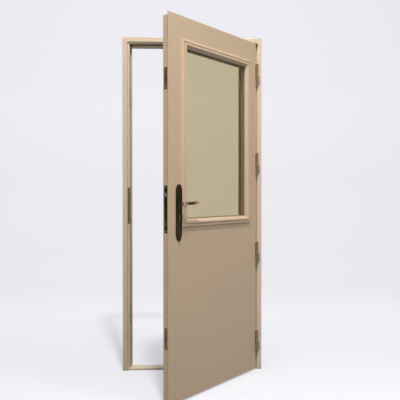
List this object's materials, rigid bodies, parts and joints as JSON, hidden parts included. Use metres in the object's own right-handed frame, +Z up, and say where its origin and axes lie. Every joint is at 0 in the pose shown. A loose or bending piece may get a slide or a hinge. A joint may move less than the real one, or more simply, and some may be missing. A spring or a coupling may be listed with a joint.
{
  "type": "glazed door with frame",
  "caption": "Half-glazed beige steel door leaf with raised glazing moulding, dark lever handle and long backplate, hung open in a double-rebated steel frame with threshold.",
  "frame": {"origin": "Centre of the threshold's underside: on the floor, midway between the jambs and midway through the frame's depth.", "axes": "+Z up. -Y is the outer side, from which the leaf is pulled open. +X runs from the lock jamb to the hinge jamb."},
  "size_m": [0.9, 0.6935, 2.15],
  "materials": {
    "frame_paint": "satin beige paint on sheet steel",
    "leaf_paint": "satin beige paint, a little darker than the frame",
    "seal_rubber": "matte dark brown rubber",
    "strike_brown": "dark brown lacquer",
    "hinge_finish": "grey-brown lacquer",
    "fastener_steel": "plain zinc-plated steel",
    "inner_steel": "galvanised, hidden",
    "brass": "plain machined brass",
    "core_foam": "rigid foam, hidden",
    "pane_glass": "warm-tinted float glass",
    "spacer": "mill finish",
    "dark_bronze": "dark bronze, semi-gloss",
    "bolt_steel": "nickel-plated steel"
  },
  "bodies": {
    "frame": {"left_jamb": "frame_paint", "right_jamb": "frame_paint", "frame_head": "frame_paint", "threshold": "frame_paint", "frame_seal": "seal_rubber", "gap_plug": "seal_rubber", "main_strike": "strike_brown", "upper_strike": "strike_brown", "lower_strike": "strike_brown", "strike_screws": "fastener_steel", "hinge_frame_halves": "hinge_finish", "hinge_pins": "fastener_steel", "hinge_washers": "brass", "hinge_frame_screws": "fastener_steel"},
    "leaf": {"leaf_outer_skin": "leaf_paint", "leaf_inner_skin": "leaf_paint", "lock_stile": "inner_steel", "hinge_stile": "inner_steel", "leaf_core": "core_foam", "glazing_liner": "inner_steel", "outer_moulding_bottom": "leaf_paint", "outer_moulding_top": "leaf_paint", "outer_moulding_left": "leaf_paint", "outer_moulding_right": "leaf_paint", "inner_moulding_bottom": "leaf_paint", "inner_moulding_top": "leaf_paint", "inner_moulding_left": "leaf_paint", "inner_moulding_right": "leaf_paint", "outer_gasket": "seal_rubber", "inner_gasket": "seal_rubber", "outer_pane": "pane_glass", "inner_pane": "pane_glass", "glass_spacer": "spacer", "setting_blocks": "seal_rubber", "bottom_seal": "seal_rubber", "lock_case": "inner_steel", "lock_faceplate": "dark_bronze", "upper_bolt_case": "inner_steel", "lower_bolt_case": "inner_steel", "upper_bolt_plate": "strike_brown", "lower_bolt_plate": "strike_brown", "edge_screws": "fastener_steel", "cylinder_body": "brass", "outer_backplate": "dark_bronze", "inner_backplate": "dark_bronze", "backplate_screws": "dark_bronze", "hinge_leaf_halves": "hinge_finish", "hinge_leaf_screws": "fastener_steel"},
    "lever": {"outer_lever": "dark_bronze", "inner_lever": "dark_bronze", "lever_spindle": "inner_steel", "lever_hub": "inner_steel"},
    "latch": {"latch_bolt": "bolt_steel"},
    "cylinder_turn": {"cylinder_plug": "brass", "thumbturn": "dark_bronze"},
    "deadbolt_body": {"deadbolt": "bolt_steel"},
    "upper_rod_body": {"upper_rod": "inner_steel"},
    "lower_rod_body": {"lower_rod": "inner_steel"},
    "upper_bolt_body": {"upper_bolt": "bolt_steel"},
    "lower_bolt_body": {"lower_bolt": "bolt_steel"}
  },
  "joints": [
    {"name": "door_swing", "type": "hinge", "parent": "frame", "child": "leaf", "pos_m": [0.42, -0.044, 1.05], "axis": [0, 0, 1], "range_deg": [-48, 62]},
    {"name": "lever_turn", "type": "hinge", "parent": "leaf", "child": "lever", "pos_m": [-0.09188, -0.59905, 1.093], "axis": [-0.7431, 0.6691, 0], "range_deg": [0, 40], "stiffness_Nm_per_rad": 2, "springref_deg": -20.05},
    {"name": "latch_slide", "type": "slide", "parent": "leaf", "child": "latch", "axis": [0.6691, 0.7431, 0], "range_m": [0, 0.012]},
    {"name": "key_turn", "type": "hinge", "parent": "leaf", "child": "cylinder_turn", "pos_m": [-0.09188, -0.59905, 1.021], "axis": [-0.7431, 0.6691, 0], "range_deg": [0, 360]},
    {"name": "deadbolt_slide", "type": "slide", "parent": "leaf", "child": "deadbolt_body", "axis": [-0.6691, -0.7431, 0], "range_m": [0, 0.02]},
    {"name": "upper_rod_slide", "type": "slide", "parent": "leaf", "child": "upper_rod_body", "axis": [0, 0, 1], "range_m": [0, 0.015]},
    {"name": "lower_rod_slide", "type": "slide", "parent": "leaf", "child": "lower_rod_body", "axis": [0, 0, -1], "range_m": [0, 0.015]},
    {"name": "upper_bolt_slide", "type": "slide", "parent": "leaf", "child": "upper_bolt_body", "axis": [-0.6691, -0.7431, 0], "range_m": [0, 0.02]},
    {"name": "lower_bolt_slide", "type": "slide", "parent": "leaf", "child": "lower_bolt_body", "axis": [-0.6691, -0.7431, 0], "range_m": [0, 0.02]}
  ],
  "couplings": [
    {"joint": "latch_slide", "follows": "lever_turn", "m_per_rad": 0.017188},
    {"joint": "key_turn", "follows": "deadbolt_slide", "rad_per_m": 314.1},
    {"joint": "upper_rod_slide", "follows": "deadbolt_slide", "ratio": 0.75},
    {"joint": "lower_rod_slide", "follows": "deadbolt_slide", "ratio": 0.75},
    {"joint": "upper_bolt_slide", "follows": "deadbolt_slide", "ratio": 1},
    {"joint": "lower_bolt_slide", "follows": "deadbolt_slide", "ratio": 1}
  ]
}
